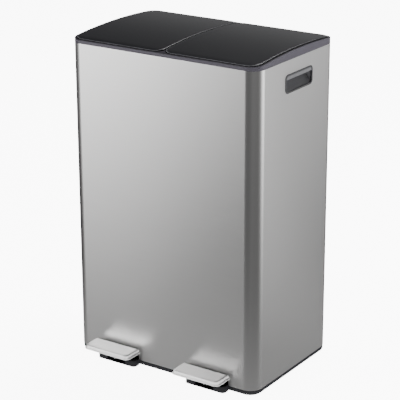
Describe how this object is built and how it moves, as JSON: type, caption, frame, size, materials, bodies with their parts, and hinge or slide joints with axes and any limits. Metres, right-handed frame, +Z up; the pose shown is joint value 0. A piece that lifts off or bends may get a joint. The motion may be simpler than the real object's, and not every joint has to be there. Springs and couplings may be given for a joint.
{
  "type": "double recycling bin",
  "caption": "Free-standing double recycling bin: two lift-out buckets under hinged crowned lids, each opened by its own pedal through a push rod.",
  "frame": {"origin": "on the floor, at the centre of the body's rectangular footprint", "axes": "+Z up; +X to the right as seen from the front; -Y towards the front, where the pedals are"},
  "size_m": [0.4318, 0.3375, 0.6687],
  "materials": {
    "brushed_steel": "horizontal brushed grain, satin",
    "pedal_steel": "fine brushed grain, satin",
    "lid_plastic": "satin",
    "rim_plastic": "fine matt grain",
    "black_plastic": "matt",
    "liner_plastic": "matt",
    "handle_plastic": "satin",
    "bucket_plastic": "satin",
    "natural_plastic": "smooth",
    "damper_plastic": "gloss",
    "zinc_steel": "bright zinc plated",
    "galvanised_sheet": "zinc coated sheet",
    "rubber": "soft matt"
  },
  "bodies": {
    "bin": {"base": "black_plastic", "outer_shell": "brushed_steel", "top_frame": "rim_plastic", "hinge_pins": "zinc_steel", "rod_guides": "natural_plastic", "carrier_screws": "zinc_steel", "handle_insert_left": "handle_plastic", "handle_insert_right": "handle_plastic", "lever_carrier_left": "black_plastic", "lever_carrier_right": "black_plastic", "pivot_pin_left": "zinc_steel", "pivot_pin_right": "zinc_steel", "rod_channel_left": "galvanised_sheet", "rod_channel_right": "galvanised_sheet", "damper_cylinder_left": "damper_plastic", "damper_cylinder_right": "damper_plastic"},
    "left_lid": {"lid_left": "lid_plastic", "lid_liner_left": "liner_plastic", "lid_screws_left": "zinc_steel", "lid_bumpers_left": "rubber", "crank_pin_left": "zinc_steel"},
    "left_pedal": {"pedal_cap_left": "pedal_steel", "pedal_tread_left": "black_plastic", "pedal_lever_left": "galvanised_sheet", "pedal_screws_left": "zinc_steel", "link_pin_left": "zinc_steel"},
    "left_rod": {"push_rod_left": "zinc_steel", "rod_head_left": "natural_plastic", "rod_foot_left": "natural_plastic", "damper_piston_left": "zinc_steel", "damper_yoke_left": "natural_plastic"},
    "left_bucket": {"bucket_left": "bucket_plastic"},
    "right_lid": {"lid_right": "lid_plastic", "lid_liner_right": "liner_plastic", "lid_screws_right": "zinc_steel", "lid_bumpers_right": "rubber", "crank_pin_right": "zinc_steel"},
    "right_pedal": {"pedal_cap_right": "pedal_steel", "pedal_tread_right": "black_plastic", "pedal_lever_right": "galvanised_sheet", "pedal_screws_right": "zinc_steel", "link_pin_right": "zinc_steel"},
    "right_rod": {"push_rod_right": "zinc_steel", "rod_head_right": "natural_plastic", "rod_foot_right": "natural_plastic", "damper_piston_right": "zinc_steel", "damper_yoke_right": "natural_plastic"},
    "right_bucket": {"bucket_right": "bucket_plastic"}
  },
  "joints": [
    {"name": "left_lid_hinge", "type": "hinge", "parent": "bin", "child": "left_lid", "pos_m": [-0.1075, 0.104, 0.65], "axis": [-1, 0, 0], "range_deg": [0, 84]},
    {"name": "left_pedal_pivot", "type": "hinge", "parent": "bin", "child": "left_pedal", "pos_m": [-0.1075, -0.06, 0.022], "axis": [1, 0, 0], "range_deg": [0, 8.72]},
    {"name": "left_rod_slide", "type": "slide", "parent": "bin", "child": "left_rod", "axis": [0, 0, 1], "range_m": [0, 0.02262]},
    {"name": "left_bucket_lift", "type": "slide", "parent": "bin", "child": "left_bucket", "axis": [0, 0, 1], "range_m": [0, 0.0095]},
    {"name": "right_lid_hinge", "type": "hinge", "parent": "bin", "child": "right_lid", "pos_m": [0.1075, 0.104, 0.65], "axis": [-1, 0, 0], "range_deg": [0, 84]},
    {"name": "right_pedal_pivot", "type": "hinge", "parent": "bin", "child": "right_pedal", "pos_m": [0.1075, -0.06, 0.022], "axis": [1, 0, 0], "range_deg": [0, 8.72]},
    {"name": "right_rod_slide", "type": "slide", "parent": "bin", "child": "right_rod", "axis": [0, 0, 1], "range_m": [0, 0.02262]},
    {"name": "right_bucket_lift", "type": "slide", "parent": "bin", "child": "right_bucket", "axis": [0, 0, 1], "range_m": [0, 0.0095]}
  ],
  "couplings": [
    {"joint": "left_pedal_pivot", "follows": "left_lid_hinge", "ratio": 0.10366},
    {"joint": "left_rod_slide", "follows": "left_lid_hinge", "m_per_rad": 0.015415},
    {"joint": "right_pedal_pivot", "follows": "right_lid_hinge", "ratio": 0.10366},
    {"joint": "right_rod_slide", "follows": "right_lid_hinge", "m_per_rad": 0.015415}
  ]
}
